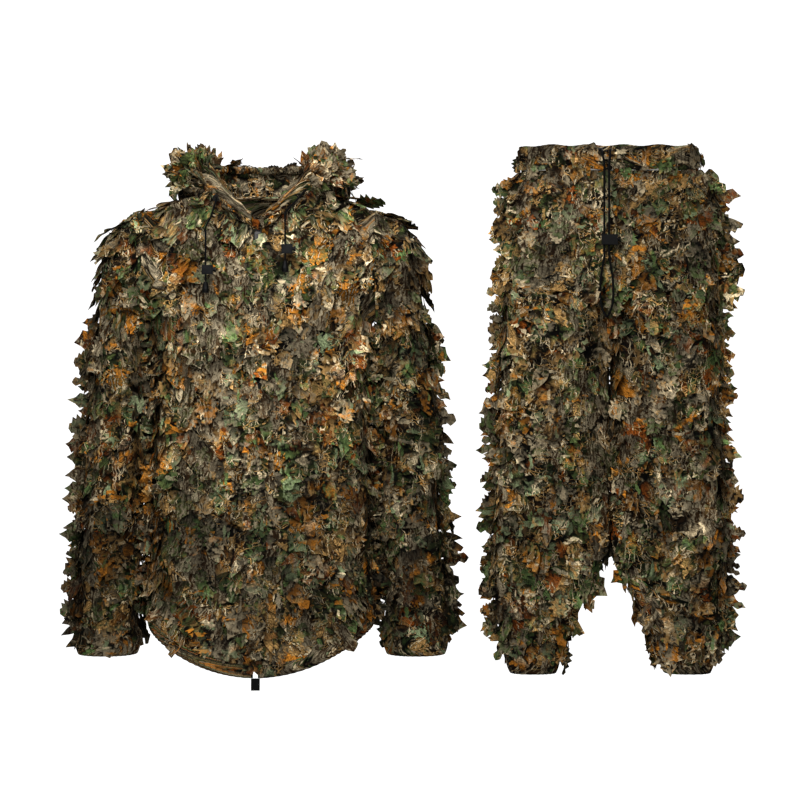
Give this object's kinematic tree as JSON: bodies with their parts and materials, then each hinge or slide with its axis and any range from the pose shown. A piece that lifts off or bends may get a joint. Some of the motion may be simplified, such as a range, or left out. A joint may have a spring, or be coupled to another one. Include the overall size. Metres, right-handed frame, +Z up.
{
  "type": "ghillie suit",
  "caption": "Hooded zip jacket and drawcord trousers in woodland print cloth covered with laser-cut leaf flaps, hung side by side.",
  "frame": {"origin": "the point inside the jacket's neck opening that the jacket hangs from", "axes": "+Z up, -Y out of the front of both garments, +X towards the trousers, which hang on the viewer's right"},
  "size_m": [1.1771, 0.3625, 0.932],
  "materials": {
    "camo_cloth": "matt",
    "leaf_flaps": "matt",
    "camo_binding": "matt",
    "elastic": "matt",
    "black_cord": "matt",
    "black_plastic": "satin",
    "zip_tape": "matt",
    "zip_plastic": "satin",
    "dark_metal": "satin",
    "spring_steel": "bright"
  },
  "bodies": {
    "jacket": {"jacket_back": "camo_cloth", "jacket_front_left": "camo_cloth", "jacket_front_right": "camo_cloth", "hem_casing": "camo_binding", "hem_elastic": "elastic", "hood_left": "camo_cloth", "hood_right": "camo_cloth", "hood_rim_casing": "camo_binding", "hood_cord_hidden": "black_cord", "hood_eyelet_left": "dark_metal", "hood_eyelet_right": "dark_metal", "hood_cord_left": "black_cord", "hood_cord_right": "black_cord", "cord_bell_left": "black_plastic", "cord_bell_right": "black_plastic", "hanger_loop": "camo_binding", "zip_tape_left": "zip_tape", "zip_tape_right": "zip_tape", "zip_teeth_left": "zip_plastic", "zip_teeth_right": "zip_plastic", "zip_bottom_box": "zip_plastic"},
    "zip_slider_body": {"zip_slider": "dark_metal"},
    "zip_pull_body": {"zip_pull": "dark_metal"},
    "hood_lock_left_body": {"hood_lock_left_barrel": "black_plastic", "hood_lock_left_spring": "spring_steel"},
    "hood_button_left_body": {"hood_lock_left_button": "black_plastic"},
    "hood_lock_right_body": {"hood_lock_right_barrel": "black_plastic", "hood_lock_right_spring": "spring_steel"},
    "hood_button_right_body": {"hood_lock_right_button": "black_plastic"},
    "sleeve_left_body": {"sleeve_left": "camo_cloth", "cuff_left": "camo_binding", "cuff_elastic_left": "elastic", "sleeve_fringe_left": "leaf_flaps"},
    "sleeve_right_body": {"sleeve_right": "camo_cloth", "cuff_right": "camo_binding", "cuff_elastic_right": "elastic", "sleeve_fringe_right": "leaf_flaps"},
    "trousers": {"waistband_front": "camo_cloth", "waistband_back": "camo_cloth", "waist_elastic": "elastic", "waist_cord_hidden": "black_cord", "waist_cord": "black_cord", "waist_eyelet_left": "dark_metal", "waist_eyelet_right": "dark_metal", "seat_front": "camo_cloth", "seat_back": "camo_cloth"},
    "leg_left_body": {"leg_front_left": "camo_cloth", "leg_back_left": "camo_cloth", "ankle_cuff_left": "camo_binding", "ankle_elastic_left": "elastic", "leg_fringe_left": "leaf_flaps"},
    "leg_right_body": {"leg_front_right": "camo_cloth", "leg_back_right": "camo_cloth", "ankle_cuff_right": "camo_binding", "ankle_elastic_right": "elastic", "leg_fringe_right": "leaf_flaps"},
    "waist_lock_body": {"waist_lock_barrel": "black_plastic", "waist_lock_spring": "spring_steel"},
    "waist_button_body": {"waist_lock_button": "black_plastic"}
  },
  "joints": [
    {"name": "sleeve_left_swing", "type": "hinge", "parent": "jacket", "child": "sleeve_left_body", "pos_m": [-0.25, 0, -0.12], "axis": [-1, 0, 0], "range_deg": [-50, 160]},
    {"name": "sleeve_right_swing", "type": "hinge", "parent": "jacket", "child": "sleeve_right_body", "pos_m": [0.25, 0, -0.12], "axis": [-1, 0, 0], "range_deg": [-50, 160]},
    {"name": "zip_slide", "type": "slide", "parent": "jacket", "child": "zip_slider_body", "axis": [0, -0.0675, -0.9977], "range_m": [0, 0.7]},
    {"name": "zip_pull_flip", "type": "hinge", "parent": "zip_slider_body", "child": "zip_pull_body", "pos_m": [0, -0.10184, -0.07056], "axis": [-1, 0, 0], "range_deg": [0, 150]},
    {"name": "hood_lock_left_slide", "type": "slide", "parent": "jacket", "child": "hood_lock_left_body", "axis": [0, 0, 1], "range_m": [0, 0.045]},
    {"name": "hood_button_left_press", "type": "slide", "parent": "hood_lock_left_body", "child": "hood_button_left_body", "axis": [-1, 0, 0], "range_m": [0, 0.0018], "stiffness_N_per_m": 300},
    {"name": "hood_lock_right_slide", "type": "slide", "parent": "jacket", "child": "hood_lock_right_body", "axis": [0, 0, 1], "range_m": [0, 0.038]},
    {"name": "hood_button_right_press", "type": "slide", "parent": "hood_lock_right_body", "child": "hood_button_right_body", "axis": [-1, 0, 0], "range_m": [0, 0.0018], "stiffness_N_per_m": 300},
    {"name": "trousers_lift", "type": "slide", "parent": "jacket", "child": "trousers", "axis": [0, 0, 1], "range_m": [0, 0.25]},
    {"name": "leg_left_swing", "type": "hinge", "parent": "trousers", "child": "leg_left_body", "pos_m": [0.5, 0.15, -0.2], "axis": [-1, 0, 0], "range_deg": [-30, 60]},
    {"name": "leg_right_swing", "type": "hinge", "parent": "trousers", "child": "leg_right_body", "pos_m": [0.71, 0.15, -0.2], "axis": [-1, 0, 0], "range_deg": [-30, 60]},
    {"name": "waist_lock_slide", "type": "slide", "parent": "trousers", "child": "waist_lock_body", "axis": [0, 0, 1], "range_m": [0, 0.11]},
    {"name": "waist_button_press", "type": "slide", "parent": "waist_lock_body", "child": "waist_button_body", "axis": [-1, 0, 0], "range_m": [0, 0.0018], "stiffness_N_per_m": 300}
  ]
}
